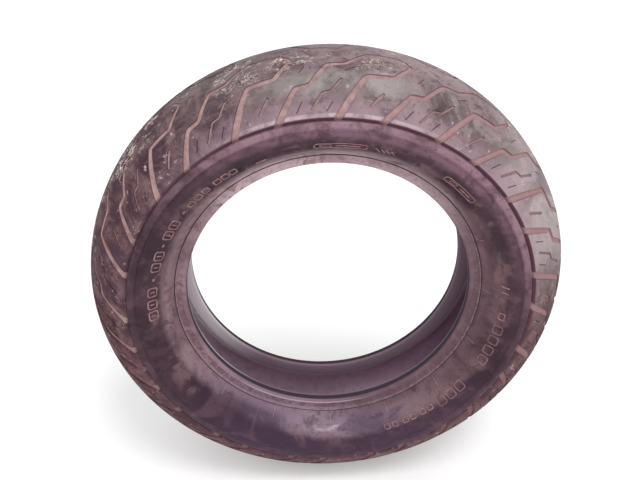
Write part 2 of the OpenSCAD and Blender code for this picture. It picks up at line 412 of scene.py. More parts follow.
class Nodes:
    """A short way to write a material's node tree. Each call adds nodes and returns an output socket.

    Its sockets for the place on the tire are position, y and r in metres; radius, and across, the distance
    from the centre plane, in millimetres; and ux and uz, the direction from the axis. relief is a skin's t.
    """

    def __init__(self, name):
        self.material = bpy.data.materials.new(name)
        self.material.use_nodes = True
        self.tree = self.material.node_tree
        self.tree.nodes.clear()
        self.position = self.add("ShaderNodeTexCoord", {}, output=3)
        split = self.tree.nodes.new("ShaderNodeSeparateXYZ")
        self.tree.links.new(self.position, split.inputs[0])
        x, self.y, z = split.outputs
        self.r = self.math("SQRT", self.plus(self.times(x, x), self.times(z, z)))
        self.ux = self.math("DIVIDE", x, self.r)
        self.uz = self.math("DIVIDE", z, self.r)
        self.across = self.times(self.math("ABSOLUTE", self.y), 1 / MM)
        self.radius = self.times(self.r, 1 / MM)
        self.relief = self.add("ShaderNodeAttribute", {}, output=2, attribute_name="relief")

    def add(self, kind, inputs, output=0, **settings):
        node = self.tree.nodes.new(kind)
        for key, value in settings.items():
            setattr(node, key, value)
        for key, value in inputs.items():
            if isinstance(value, bpy.types.NodeSocket):
                self.tree.links.new(value, node.inputs[key])
            else:
                node.inputs[key].default_value = value
        return node.outputs[output]

    def math(self, operation, a, b=0.0):
        return self.add("ShaderNodeMath", {0: a, 1: b}, operation=operation)

    def plus(self, first, *others):
        for other in others:
            first = self.math("ADD", first, other)
        return first

    def times(self, first, *others):
        for other in others:
            first = self.math("MULTIPLY", first, other)
        return first

    def ramp(self, value, low, high, to_low=0.0, to_high=1.0):
        """A smooth step from to_low to to_high as value goes from low to high."""
        inputs = {"Value": value, "From Min": low, "From Max": high, "To Min": to_low, "To Max": to_high}
        return self.add("ShaderNodeMapRange", inputs, interpolation_type="SMOOTHSTEP")

    def fall(self, value, low, high):
        """A smooth step from 1 to 0 as value goes from low to high."""
        return self.ramp(value, low, high, 1.0, 0.0)

    def band(self, value, start, full, fading, end):
        """1 where value is between full and fading, and 0 where it is outside start to end."""
        return self.times(self.ramp(value, start, full), self.fall(value, fading, end))

    def vein(self, value, width):
        """Thin lines where value passes one half."""
        return self.fall(self.math("ABSOLUTE", self.plus(value, -0.5)), width * 0.4, width)

    def noise(self, at, scale, detail=3.0, roughness=0.55, distortion=0.0):
        inputs = {"Vector": at, "Scale": scale, "Detail": detail, "Roughness": roughness}
        return self.add("ShaderNodeTexNoise", {**inputs, "Distortion": distortion})

    def stretched(self, around, along_y, along_r):
        """Coordinates for streaks: how fast they change round the axis, across the tire and outwards."""
        inputs = {
            0: self.times(self.ux, around),
            1: self.plus(self.times(self.y, along_y), self.times(self.r, along_r)),
            2: self.times(self.uz, around),
        }
        return self.add("ShaderNodeCombineXYZ", inputs)

    def mix(self, share, a, b):
        node = self.tree.nodes.new("ShaderNodeMix")
        node.data_type = "RGBA"
        for index, value in ((0, share), (6, a), (7, b)):
            if isinstance(value, bpy.types.NodeSocket):
                self.tree.links.new(value, node.inputs[index])
            else:
                node.inputs[index].default_value = (*value, 1.0) if index else value
        return node.outputs[2]

    def two_tone(self, value, low, high, pair):
        """From the first colour of the pair to the second as value goes from low to high."""
        return self.mix(self.ramp(value, low, high), *pair)

    def over(self, color, share, paint, strength=None):
        """The colour with paint laid over it, to the given share and strength."""
        return self.mix(self.times(share, strength) if strength else share, color, paint)

    def shade(self):
        """How strong the painted shade under the tread's edge is: full at the upper right, faint at the left
        and low.
        """
        return self.times(self.ramp(self.ux, -0.9, -0.4, 0.2, 1.0), self.ramp(self.uz, -0.7, 0.1, 0.15, 1.0))

    def bump(self, height, distance, strength):
        """A rough surface: distance is how many millimetres a height of 1 stands for."""
        inputs = {"Height": height, "Distance": distance * MM, "Strength": strength}
        return self.add("ShaderNodeBump", inputs)

    def finish(self, color, roughness, normal, specular, others=None):
        inputs = {"Base Color": color, "Roughness": roughness, "Normal": normal, **(others or {})}
        shader = self.add("ShaderNodeBsdfPrincipled", {**inputs, "Specular IOR Level": specular})
        out = self.tree.nodes.new("ShaderNodeOutputMaterial")
        self.tree.links.new(shader, out.inputs["Surface"])
        return self.material


# Colours are linear red, green and blue. Where a name has a pair, the colour wanders between the two.

TREAD_COLORS = {
    "low": ((0.048, 0.021, 0.029), (0.135, 0.076, 0.085)),
    "top": ((0.14, 0.092, 0.103), (0.31, 0.225, 0.24)),
    "left": ((0.05, 0.022, 0.034), (0.125, 0.06, 0.066)),
    "underside": ((0.062, 0.026, 0.034), (0.15, 0.07, 0.072)),
    "dust": ((0.3, 0.18, 0.182), (0.46, 0.32, 0.308)),
    "dust at the right": (0.35, 0.2, 0.215),
    "dust in painted shade low down": (0.16, 0.078, 0.084),
    "olive grey": (0.2, 0.19, 0.178),
    "pale mottle": (0.29, 0.2, 0.205),
    "dark mottle": (0.05, 0.024, 0.031),
    "rubbed": (0.27, 0.2, 0.21),
    "pit": (0.045, 0.02, 0.028),
    "pale speck": (0.34, 0.25, 0.255),
    "dark patch": (0.09, 0.058, 0.06),
    "glare_at_right": (0.47, 0.39, 0.4),
    "worn grey and sheen": (0.34, 0.325, 0.312),
    "edge": (0.29, 0.195, 0.235),
    "lip_highlight": (0.56, 0.42, 0.47),
    "crumb": (0.82, 0.68, 0.62),
    "nick": (0.56, 0.44, 0.44),
    "groove wall": (0.13, 0.055, 0.07),
    "shade": (0.085, 0.036, 0.05),
}


def tread_ground(n):
    """The rubber between the grooves: dark low down and paler towards the top, a painted light from above;
    clouded, rubbed and pitted.
    """
    paint = TREAD_COLORS
    low = n.two_tone(n.cloud, 0.36, 0.66, paint["low"])
    top = n.two_tone(n.cloud, 0.36, 0.66, paint["top"])
    # painted light: the dark low colour turns to the pale top colour towards the top and upper right, where
    # the light falls
    color = n.mix(n.upper, low, top)
    grey = n.times(n.ramp(n.tint, 0.48, 0.66), n.ramp(n.upper, 0.0, 1.0, 0.15, 0.45))
    color = n.over(color, grey, paint["olive grey"])
    color = n.over(color, n.ramp(n.mottle, 0.52, 0.68), paint["pale mottle"], 0.45)
    color = n.over(color, n.fall(n.mottle, 0.34, 0.48), paint["dark mottle"], 0.72)
    color = n.over(color, n.ramp(n.rubbed, 0.52, 0.66), paint["rubbed"], 0.4)
    color = n.over(color, n.fall(n.pits, 0.34, 0.44), paint["pit"], 0.6)
    return n.over(color, n.ramp(n.pits, 0.58, 0.7), paint["pale speck"], 0.4)


def tread_zones(n, color):
    """Round the tire: painted shade at the left, dark patches and painted glare at the right, a mottled
    underside, and a grey top of wear and painted sheen.
    """
    paint = TREAD_COLORS
    # painted shade: the left side, away from the light, is darkened
    left = n.times(n.fall(n.ux, -0.8, 0.0), n.ramp(n.mottle, 0.4, 0.62, 0.92, 0.5))
    color = n.over(color, left, n.two_tone(n.mottle, 0.44, 0.62, paint["left"]))
    patch = n.times(n.ramp(n.noise(n.position, 16.0, 4.0, 0.65, 0.7), 0.5, 0.6), n.ramp(n.ux, 0.05, 0.45))
    patch = n.times(patch, n.ramp(n.across, 34.0, 52.0), n.ramp(n.across, 74.0, 84.0, 1.0, 0.3))
    color = n.over(color, patch, paint["dark patch"], 0.75)
    # painted glare: the right side, towards the light, is lightened
    glare_at_right = n.times(n.ramp(n.ux, 0.55, 0.95), n.ramp(n.uz, 0.0, 0.4), n.ramp(n.cloud, 0.34, 0.56, 0.3, 0.75))
    color = n.over(color, glare_at_right, paint["glare_at_right"])
    underside = n.times(n.fall(n.uz, -0.25, 0.15), n.ramp(n.mottle, 0.4, 0.62, 0.75, 0.35))
    color = n.over(color, underside, n.two_tone(n.mottle, 0.4, 0.6, paint["underside"]))
    # the grey top is partly worn rubber and partly a painted sheen where the light falls on the crown
    worn = n.times(n.ramp(n.uz, 0.92, 0.99), n.band(n.across, 40.0, 52.0, 64.0, 76.0))
    return n.over(color, n.times(worn, n.ramp(n.cloud, 0.36, 0.54, 0.2, 0.6)), paint["worn grey and sheen"])


def tread_edge(n, color):
    """The paler ragged band along the tread's edge, partly wear and partly painted sheen that grows towards
    the top, and a painted highlight along the edge near the top.
    """
    ragged = n.plus(n.across, n.times(n.mottle, 16.0))
    # the edge band is partly wear and partly painted sheen: it grows towards the top, where the light falls
    edge = n.times(n.ramp(ragged, 74.0, 94.5), n.ramp(n.upper, 0.0, 1.0, 0.08, 0.62))
    color = n.over(color, n.times(edge, n.ramp(n.mottle, 0.34, 0.54, 0.55, 1.0)), TREAD_COLORS["edge"])
    # painted highlight: a bright line along the tread's rounded edge near the top
    lip_highlight = n.times(n.ramp(n.across, 84.5, 85.6), n.ramp(n.radius, 270.2, 271.0))
    lip_highlight = n.times(lip_highlight, n.ramp(n.uz, 0.84, 0.99, 0.0, 0.7), n.ramp(n.mottle, 0.4, 0.56, 0.3, 1.0))
    return n.over(color, lip_highlight, TREAD_COLORS["lip_highlight"])


def tread_crumbs(n):
    """Where the rubbed-up crumbs of rubber and the dried fibres lie: in patches near the crown."""
    squiggles = n.vein(n.noise(n.position, 40.0, 3.0, 0.6, 2.4), 0.034)
    threads = n.vein(n.noise(n.stretched(9.0, 75.0, 20.0), 1.0, 4.0, 0.65, 1.8), 0.03)
    gathered = n.ramp(n.noise(n.position, 13.0, 3.0, 0.6), 0.56, 0.62)
    scattered = n.ramp(n.noise(n.position, 19.0, 3.0, 0.6), 0.55, 0.62)
    crumbs = n.math("MAXIMUM", n.times(squiggles, gathered), n.times(threads, scattered))
    return n.times(crumbs, n.fall(n.across, 26.0, 56.0), n.ramp(n.grit, 0.32, 0.5))


def tread_grooves(n, color):
    """Groove walls darkened with painted shade, dusty groove floors with painted shade low down, and painted
    shade on the step below the tread's edge.
    """
    paint = TREAD_COLORS
    # painted shade: the groove walls darkened, as shade falls in the grooves
    color = n.over(color, n.band(n.relief, 0.05, 0.25, 0.75, 0.95), paint["groove wall"], 0.5)
    dust = n.two_tone(n.fine, 0.3, 0.7, paint["dust"])
    dust = n.over(dust, n.ramp(n.ux, 0.0, 0.6, 0.0, 0.7), paint["dust at the right"])
    # painted shade: the dust is darkened low down, where it faces away from the light
    dust = n.over(dust, n.ramp(n.uz, -0.7, -0.1, 0.75, 0.0), paint["dust in painted shade low down"])
    color = n.over(color, n.floor, dust)
    # painted shade on the step below the tread's edge
    step = n.times(n.fall(n.radius, 269.0, 270.4), n.ramp(n.across, 83.5, 84.2), n.fall(n.relief, 0.3, 0.6))
    return n.over(color, n.times(step, n.shade()), paint["shade"])


def tread_rubber():
    n = Nodes("worn_tread_rubber")
    n.cloud = n.noise(n.position, 9.0, 5.0, 0.65, 0.8)
    n.tint = n.noise(n.position, 5.0, 3.0, 0.5, 0.6)
    n.mottle = n.noise(n.position, 34.0, 5.0, 0.7, 0.6)
    n.fine = n.noise(n.position, 90.0, 5.0, 0.7)
    n.rubbed = n.noise(n.stretched(3.0, 170.0, 0.0), 1.0, 4.0, 0.6, 0.5)
    n.grit = n.noise(n.position, 300.0, 3.0, 0.75, 1.0)
    n.pits = n.noise(n.position, 150.0, 4.0, 0.7, 0.8)
    # upper: how far a point faces up and to the right, the share of painted light from above
    n.upper = n.ramp(n.plus(n.uz, n.times(n.ux, 0.25)), 0.3, 1.0)
    n.floor = n.ramp(n.relief, 0.6, 0.7)
    color = tread_edge(n, tread_zones(n, tread_ground(n)))
    crumbs = tread_crumbs(n)
    color = n.over(color, crumbs, TREAD_COLORS["crumb"])
    nicks = n.times(n.ramp(n.fine, 0.585, 0.65), n.ramp(n.grit, 0.48, 0.58))
    color = n.over(color, nicks, TREAD_COLORS["nick"], 0.8)
    color = tread_grooves(n, color)
    height = n.plus(n.times(n.rubbed, 0.25), n.times(n.grit, 0.2), crumbs)
    height = n.plus(height, n.times(n.mottle, 0.5), n.times(n.pits, 0.5))
    rough = n.plus(n.ramp(n.fine, 0.3, 0.7, 0.46, 0.62), n.times(n.floor, 0.25))
    rough = n.plus(rough, n.ramp(n.uz, -0.2, 0.3, 0.3, 0.0), n.ramp(n.ux, -0.8, -0.2, 0.2, 0.0))
    return n.finish(color, n.math("MINIMUM", rough, 1.0), n.bump(height, 1.0, 0.8), specular=0.18)


LOWER_SIDEWALL_COLORS = {
    "dark": ((0.026, 0.009, 0.016), (0.062, 0.026, 0.042)),
    "dark low down": (0.05, 0.024, 0.05),
    "smear": (0.15, 0.08, 0.105),
    "pale band": ((0.25, 0.165, 0.185), (0.13, 0.07, 0.084)),
    "pale low down": (0.225, 0.152, 0.208),
}


def lower_sidewall(n):
    """The colour that the rim strip and the sidewall share: dark, with a ragged pale band low down, which
    reaches higher at the right and the bottom."""
    n.cloud = n.noise(n.position, 10.0, 5.0, 0.62, 0.9)
    n.mottle = n.noise(n.position, 30.0, 5.0, 0.7, 0.8)
    n.smear = n.noise(n.stretched(7.0, 40.0, 40.0), 1.0, 4.0, 0.6, 1.2)
    paint = LOWER_SIDEWALL_COLORS
    bottom = n.fall(n.uz, -0.85, -0.4)
    dark = n.two_tone(n.cloud, 0.36, 0.68, paint["dark"])
    dark = n.over(dark, bottom, paint["dark low down"], 0.6)
    dark = n.over(dark, n.ramp(n.smear, 0.48, 0.72), paint["smear"], 0.32)
    pale = n.two_tone(n.ux, 0.3, 0.9, paint["pale band"])
    pale = n.over(pale, n.times(bottom, n.fall(n.ux, 0.2, 0.7)), paint["pale low down"])
    lift = n.ramp(n.math("SUBTRACT", n.ux, n.uz), -0.1, 1.0, 0.0, -11.0)
    ragged = n.plus(n.radius, lift, n.times(n.mottle, 16.0), -8.0)
    return n.over(dark, n.times(n.fall(ragged, 215.5, 226.5), n.ramp(n.cloud, 0.34, 0.56, 0.2, 0.95)), pale)


SIDEWALL_COLORS = {
    "outer": (0.17, 0.088, 0.122),
    "lit_ridge": (0.27, 0.162, 0.2),
    "shade": (0.085, 0.036, 0.05),
    "blotch": (0.185, 0.112, 0.115),
    "grime": (0.04, 0.016, 0.024),
    "dark speck": (0.035, 0.014, 0.02),
    "pale speck": (0.28, 0.19, 0.2),
    "shine": (0.46, 0.36, 0.43),
    "mark": ((0.2, 0.095, 0.105), (0.33, 0.2, 0.2)),
}


def sidewall_rubber():
    n = Nodes("moulded_sidewall_rubber")
    paint = SIDEWALL_COLORS
    color = lower_sidewall(n)
    fine = n.noise(n.position, 150.0, 4.0, 0.7)
    # painted light: the outer sidewall is lighter towards the top and upper right, where the light falls from
    # above
    upward_light = n.plus(n.uz, n.times(n.ux, 0.35))
    outer = n.times(n.ramp(upward_light, 0.35, 1.0), n.ramp(n.radius, 238.0, 249.0))
    color = n.over(color, n.times(outer, n.ramp(n.smear, 0.3, 0.6, 0.25, 1.0)), paint["outer"])
    # painted light: the shoulder rib is lighter, most towards the top
    lit_ridge = n.times(n.ramp(n.radius, 253.5, 257.5), n.ramp(n.smear, 0.25, 0.6, 0.2, 1.0))
    lit_ridge = n.times(lit_ridge, n.ramp(upward_light, 0.1, 0.95, 0.08, 1.0), n.ramp(n.mottle, 0.34, 0.56, 0.35, 1.0))
    color = n.over(color, lit_ridge, paint["lit_ridge"])
    # painted shade at the foot of the ledge under the tread's edge
    color = n.over(color, n.times(n.ramp(n.radius, 263.6, 264.8), n.shade()), paint["shade"], 0.3)
    blotch = n.times(n.ramp(n.mottle, 0.5, 0.58), n.fall(n.radius, 228.0, 250.0), n.ramp(n.cloud, 0.44, 0.54))
    color = n.over(color, blotch, paint["blotch"], 0.6)
    grime = n.times(n.fall(n.mottle, 0.36, 0.45), n.ramp(n.cloud, 0.4, 0.6))
    color = n.over(color, grime, paint["grime"], 0.7)
    color = n.over(color, n.fall(fine, 0.34, 0.44), paint["dark speck"], 0.45)
    color = n.over(color, n.ramp(fine, 0.62, 0.8), paint["pale speck"], 0.25)
    # painted highlight: a shine on the lower sidewall's bulge at the bottom
    shine = n.times(n.band(n.radius, 214.5, 218.0, 222.0, 227.0), n.ramp(n.mottle, 0.44, 0.56))
    shine = n.times(shine, n.fall(n.uz, -0.9, -0.7), n.fall(n.math("ABSOLUTE", n.ux), 0.02, 0.22))
    color = n.over(color, shine, paint["shine"], 0.7)
    color = n.over(color, n.ramp(n.relief, 0.45, 0.9), n.two_tone(fine, 0.35, 0.65, paint["mark"]), 0.85)
    height = n.plus(n.times(n.smear, 0.4), n.times(fine, 0.3), n.times(n.mottle, 0.5))
    return n.finish(color, n.ramp(n.cloud, 0.3, 0.7, 0.26, 0.44), n.bump(height, 0.7, 0.6), specular=0.2)


RIM_STRIP_COLORS = {
    "ground": ((0.14, 0.076, 0.094), (0.265, 0.172, 0.198)),
    "streak": (0.3, 0.2, 0.225),
    "upper": (0.6, 0.44, 0.475),
    "bottom": (0.215, 0.145, 0.2),
    "dull right": (0.108, 0.058, 0.076),
    "grime": (0.07, 0.034, 0.042),
    "dark speck": (0.07, 0.034, 0.044),
    "smear": (0.13, 0.064, 0.066),
    "bead base": (0.045, 0.03, 0.042),
    "heel": (0.5, 0.38, 0.44),
    "flange": (0.105, 0.05, 0.066),
    "toe": ((0.21, 0.145, 0.18), (0.68, 0.6, 0.64)),
    "seam": (0.04, 0.018, 0.026),
    "rib": (0.33, 0.225, 0.24),
    "vent line": (0.42, 0.31, 0.31),
}


def rim_strip_ground(n, streak):
    """The strip's clouded rubber, pale at the top and dull at the right, which runs into the sidewall's."""
    paint = RIM_STRIP_COLORS
    cloud = n.noise(n.position, 14.0, 5.0, 0.62, 0.8)
    sidewall = lower_sidewall(n)
    color = n.two_tone(cloud, 0.32, 0.66, paint["ground"])
    color = n.over(color, n.ramp(streak, 0.5, 0.72), paint["streak"], 0.4)
    upper = n.times(n.ramp(n.uz, 0.3, 0.95), n.ramp(n.radius, 206.0, 212.0, 0.8, 0.55))
    color = n.over(color, n.times(upper, n.ramp(cloud, 0.3, 0.6, 0.5, 1.0)), paint["upper"])
    color = n.over(color, n.times(n.fall(n.uz, -0.85, -0.4), n.fall(n.ux, 0.2, 0.7)), paint["bottom"], 0.75)
    dull = n.times(n.ramp(n.ux, -0.2, 0.35), n.ramp(n.uz, -0.2, 0.6, 1.0, 0.4))
    color = n.over(color, n.times(dull, n.ramp(n.mottle, 0.36, 0.6, 0.9, 0.6)), paint["dull right"])
    return n.over(color, n.ramp(n.radius, 207.5, 217.0), sidewall)


def rim_strip_dirt(n, color, fine, outside):
    """Grime above the rib, specks all over and smears at the upper left."""
    paint = RIM_STRIP_COLORS
    grime = n.times(n.fall(n.mottle, 0.36, 0.47), n.ramp(n.radius, 204.5, 206.5), outside)
    color = n.over(color, grime, paint["grime"], 0.7)
    color = n.over(color, n.fall(fine, 0.34, 0.44), paint["dark speck"], 0.35)
    smear = n.ramp(n.noise(n.stretched(9.0, 60.0, 60.0), 1.0, 5.0, 0.65, 1.0), 0.5, 0.62)
    smear = n.times(smear, n.ramp(n.ux, -0.3, 0.4, 1.0, 0.3), n.ramp(n.uz, -0.5, 0.2), outside)
    return n.over(color, smear, paint["smear"], 0.75)


def rim_strip_rings(n, color, fine, outside):
    """The bead's rings: the heel with a painted highlight at the bottom, the flange face, the toe with
    painted light at the left, the seam and the rib.
    """
    paint = RIM_STRIP_COLORS
    # painted highlight: a bright line along the heel near the bottom
    heel_highlight_span = n.times(n.fall(n.uz, -0.7, -0.5), n.band(n.ux, -0.8, -0.45, 0.05, 0.4))
    heel = n.times(n.band(n.radius, 193.5, 194.7, 195.2, 196.4), outside, heel_highlight_span)
    color = n.over(color, heel, paint["heel"], 0.7)
    flange = n.times(n.band(n.radius, 196.2, 197.0, 202.8, 203.6), outside)
    flange = n.times(flange, n.ramp(n.uz, -0.3, 0.5, 0.7, 0.2), n.ramp(fine, 0.42, 0.6, 1.0, 0.1))
    color = n.over(color, flange, paint["flange"])
    # painted light: the toe turns much paler at the left, inside the tire
    toe = n.mix(n.fall(n.ux, -0.95, -0.45), *paint["toe"])
    color = n.over(color, n.fall(n.across, 35.2, 37.5), toe)
    seam = n.times(n.band(n.radius, 204.6, 205.3, 206.1, 206.9), outside)
    color = n.over(color, seam, paint["seam"], 0.85)
    rib = n.times(n.band(n.radius, 203.5, 204.1, 204.7, 205.1), outside)
    return n.over(color, n.times(rib, n.ramp(fine, 0.42, 0.58, 0.15, 0.7)), paint["rib"])


def rim_strip_rubber():
    n = Nodes("rim_strip_rubber")
    streak = n.noise(n.stretched(5.0, 240.0, 240.0), 1.0, 4.0, 0.6, 0.4)
    fine = n.noise(n.position, 180.0, 4.0, 0.7)
    outside = n.ramp(n.across, 44.0, 45.8)
    base = n.times(n.fall(n.radius, 190.5, 193.5), n.fall(n.across, 43.0, 45.0))
    color = rim_strip_dirt(n, rim_strip_ground(n, streak), fine, outside)
    color = n.over(color, base, RIM_STRIP_COLORS["bead base"])
    color = rim_strip_rings(n, color, fine, outside)
    color = n.over(color, n.ramp(n.relief, 0.4, 0.9), RIM_STRIP_COLORS["vent line"], 0.8)
    height = n.plus(n.times(streak, 0.5), n.times(fine, 0.35), n.times(n.mottle, 0.4))
    rough = n.math("MINIMUM", n.plus(n.ramp(streak, 0.35, 0.7, 0.34, 0.5), n.times(base, 0.5)), 1.0)
    return n.finish(color, rough, n.bump(height, 0.5, 0.6), specular=0.2)


LINER_COLORS = {
    "ground": ((0.4, 0.24, 0.34), (0.56, 0.38, 0.5)),
    "cloud": (0.6, 0.46, 0.55),
    "glare_at_left": (0.86, 0.8, 0.83),
    "dark speck": (0.25, 0.15, 0.2),
    "lower edge": (0.15, 0.1, 0.13),
}


def liner_rubber():
    n = Nodes("liner_rubber")
    paint = LINER_COLORS
    streak = n.noise(n.stretched(1.2, 60.0, 30.0), 1.0, 3.0, 0.5, 0.3)
    cloud = n.noise(n.position, 6.0, 3.0, 0.55, 0.5)
    fine = n.noise(n.position, 90.0, 4.0, 0.6)
    color = n.two_tone(streak, 0.35, 0.68, paint["ground"])
    color = n.over(color, n.ramp(cloud, 0.42, 0.62), paint["cloud"], 0.4)
    # painted light: the liner turns much paler at the left, inside the tire
    glare_at_left = n.times(n.fall(n.ux, -0.95, -0.45), n.ramp(cloud, 0.3, 0.6, 0.6, 1.0))
    color = n.over(color, glare_at_left, paint["glare_at_left"])
    color = n.over(color, n.fall(fine, 0.4, 0.5), paint["dark speck"], 0.25)
    color = n.over(color, n.ramp(n.radius, 207.8, 209.8, 0.9, 0.0), paint["lower edge"])
    normal = n.bump(n.plus(n.times(streak, 0.6), n.times(fine, 0.3)), 0.6, 0.5)
    return n.finish(color, n.ramp(fine, 0.3, 0.7, 0.36, 0.5), normal, specular=0.45)


def cord_fabric(name, dark, light, around):
    """Rubbered cord: fine parallel ribs round the tire, with a cross thread."""
    n = Nodes(name)
    at = n.stretched(around, 300.0, 300.0)
    warp = n.add("ShaderNodeTexWave", {"Vector": at, "Scale": 1.0, "Distortion": 0.6})
    grain = n.noise(n.position, 160.0, 4.0, 0.6)
    color = n.mix(n.times(warp, n.ramp(grain, 0.2, 0.8, 0.6, 1.0)), dark, light)
    normal = n.bump(n.plus(warp, n.times(grain, 0.3)), 0.3, 0.7)
    return n.finish(color, n.ramp(grain, 0.3, 0.7, 0.65, 0.85), normal, specular=0.25)


def bead_steel():
    n = Nodes("bronzed_bead_wire")
    streak = n.noise(n.stretched(8.0, 900.0, 900.0), 1.0, 3.0, 0.6)
    color = n.two_tone(streak, 0.35, 0.65, ((0.42, 0.28, 0.14), (0.66, 0.5, 0.3)))
    rough = n.ramp(streak, 0.3, 0.7, 0.25, 0.4)
    return n.finish(color, rough, n.bump(streak, 0.05, 0.5), specular=0.5, others={"Metallic": 1.0})


def dark_rubber():
    n = Nodes("inner_rubber")
    grain = n.noise(n.position, 60.0, 4.0, 0.6)
    color = n.two_tone(grain, 0.35, 0.65, ((0.03, 0.025, 0.028), (0.06, 0.05, 0.054)))
    return n.finish(color, n.ramp(grain, 0.3, 0.7, 0.55, 0.75), n.bump(grain, 0.3, 0.5), specular=0.4)


TREAD = tread_rubber()
SIDEWALL = sidewall_rubber()
RIM_STRIP = rim_strip_rubber()
LINING = liner_rubber()
CARCASS_CORD = cord_fabric("carcass_cord", (0.16, 0.12, 0.08), (0.45, 0.37, 0.26), 260.0)
BREAKER_CORD = cord_fabric("breaker_cord", (0.14, 0.1, 0.07), (0.42, 0.33, 0.22), 200.0)
CHAFER_WEAVE = cord_fabric("chafer_weave", (0.12, 0.1, 0.07), (0.36, 0.31, 0.23), 420.0)
WIRE = bead_steel()
INNER_RUBBER = dark_rubber()

NODE_LOOKS = {
    "tread_cap": TREAD, "sidewall": SIDEWALL, "rim_strip": RIM_STRIP, "inner_liner": LINING,
    "ply": CARCASS_CORD, "breaker": BREAKER_CORD, "chafer": CHAFER_WEAVE, "flipper": CHAFER_WEAVE,
    "tread_base": INNER_RUBBER, "bead_filler": INNER_RUBBER, "bead_insulation": INNER_RUBBER,
    "bead_wires": WIRE,
}
for name, node in nodes.items():
    look = next(m for start, m in NODE_LOOKS.items() if name.startswith(start))
    node.data.materials.clear()
    node.data.materials.append(look)

# ---- tread cap ----

# Each pitch repeats the same strokes. Their points are degrees from the pitch's place, and v from the crown.
PITCHES = 14
PITCH_START = 11.3
PITCH_SWING = 1.9
PITCH_SWING_AT = 6.4
LOOP_GROOVE = [
    (0.6, 122), (0, 108), (-6.3, 53.5), (-12.6, 50.5), (-15.6, 30), (-16.4, 22), (-14.2, 6), (-7, 9),
    (-1.8, 35), (2.3, 37), (6.5, 66.5), (9.7, 69), (14.9, 108), (16.8, 122),
]
LOOP_WIDTH = [10.0, 9.6, 6.4, 6.0, 5.2, 4.8, 4.0, 4.0, 4.8, 5.4, 5.6, 6.0, 9.2, 9.6]
BOLT_SIPE = [(-0.7, 60), (1.7, 75.5), (3.6, 77), (6.4, 97)]
DASH_SIPE = [(-10.3, 75), (-7.7, 92)]
FINE_SIPES = [
    [(8.6, 87), (10.1, 99)],
    [(1.4, 89), (2.8, 99.5)],
    [(-19.3, 38), (-18, 48.5)],
    [(-3.4, 41.5), (-1.6, 47.5)],
]
GROOVE_LEVELS = [(0.7, 0.0), (0.3, 0.04), (0.1, 0.16), (-0.1, 0.84), (-0.65, 1.0)]
SIPE_LEVELS = [(0.45, 0.0), (0.12, 0.04), (0.0, 0.14), (-0.15, 0.62), (-0.55, 0.72)]
FINE_LEVELS = [(0.35, 0.0), (0.0, 0.1), (-0.25, 0.5)]
SIPE_HALF = 1.5
DASH_HALF = 1.75
FINE_HALF = 0.6
GROOVE_DEPTH = 2.0
GROOVE_EDGE_DEPTH = 1.8
MOUTH_DEPTH = (-2.6, 0.2)  # how far a groove floor lies behind the foot of the step that it runs out through
MOUTH_STEPS = (0.1, 0.2, 0.35, 1.0)
GROOVE_REACH = 3.0
SIPE_REACH = 1.5
TREAD_COUNT = PITCHES * 26
CROWN_POINTS = 120
CROWN_ROWS = 22
EDGE_ROWS = (3.5, 1.2)  # how far short of the tread's edge the last two rows of the grid stop


def pitch_angle(k):
    pitch = 360 / PITCHES
    return PITCH_START + pitch * k + PITCH_SWING * math.cos(math.radians(pitch * (k - PITCH_SWING_AT)))


def tread_skin():
    crown_line = [(y, crown(y)) for y in np.linspace(0, TREAD_EDGE_Y, CROWN_POINTS)]
    line = crown_line + EDGE_ROUNDING + [STEP_FOOT]
    into = inward(crown_line)
    relief = []
    for (y, r), d in zip(crown_line, into):
        depth = GROOVE_DEPTH + GROOVE_EDGE_DEPTH * (y / TREAD_EDGE_Y) ** 2
        relief.append((y + depth * d[0], r + depth * d[1]))
    foot = np.array(STEP_FOOT) + MOUTH_DEPTH
    last = np.array(relief[-1])
    relief += [tuple(last + (foot - last) * share) for share in MOUTH_STEPS]
    return Skin(line, relief)


def tread_strokes(offset):
    """One half's grooves and sipes, all round, moved on by offset of a pitch."""
    loop = rounded(LOOP_GROOVE, GROOVE_REACH)
    run, loop_run = (
        np.r_[0, np.cumsum(np.linalg.norm(np.diff(np.array(path) * ABOUT_MM, axis=0), axis=1))]
        for path in (LOOP_GROOVE, loop)
    )
    half = np.interp(loop_run * run[-1] / loop_run[-1], run, np.array(LOOP_WIDTH) / 2)
    strokes = []
    for k in range(PITCHES):
        a = pitch_angle(k + offset)
        strokes.append(Stroke(loop, half, GROOVE_LEVELS, through=True).turned(a))
        strokes.append(Stroke(rounded(BOLT_SIPE, SIPE_REACH), SIPE_HALF, SIPE_LEVELS).turned(a))
        strokes.append(Stroke(DASH_SIPE, DASH_HALF, SIPE_LEVELS).turned(a))
        for sipe in FINE_SIPES:
            strokes.append(Stroke(sipe, FINE_HALF, FINE_LEVELS).turned(a))
    return strokes


def make_tread():
    skin = tread_skin()
    shell = Shell()
    edge, *step = skin.v[CROWN_POINTS - 1 :]
    rows = [*np.linspace(0, edge - EDGE_ROWS[0], CROWN_ROWS), edge - EDGE_ROWS[1], edge, *step]
    right = shell.relief_skin(skin, RIGHT, rows, TREAD_COUNT, tread_strokes(0.0))
    left = shell.relief_skin(skin, LEFT, rows, TREAD_COUNT, tread_strokes(0.5))
    for side, rings in ((RIGHT, right), (LEFT, left)):
        shell.back(CAP_UNDERSIDE, side, TREAD_COUNT, rings[1])
    piece = shell.build("tread_cap_worn", TREAD)
    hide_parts("tread_cap")


# ---- sidewalls ----

MARK_HEIGHT = 0.9
MARK_LEVELS = [(0.3, 0.0), (0.1, 0.8), (-0.15, 1.0)]
WORN_LEVELS = [(0.4, 0.0), (0.15, 0.5), (-0.15, 0.7)]
PAD_LEVELS = [(0.3, 0.0), (0.0, 0.5)]
MARK_BAND_R = 232.0
PAST_RIBS_V = 25.0

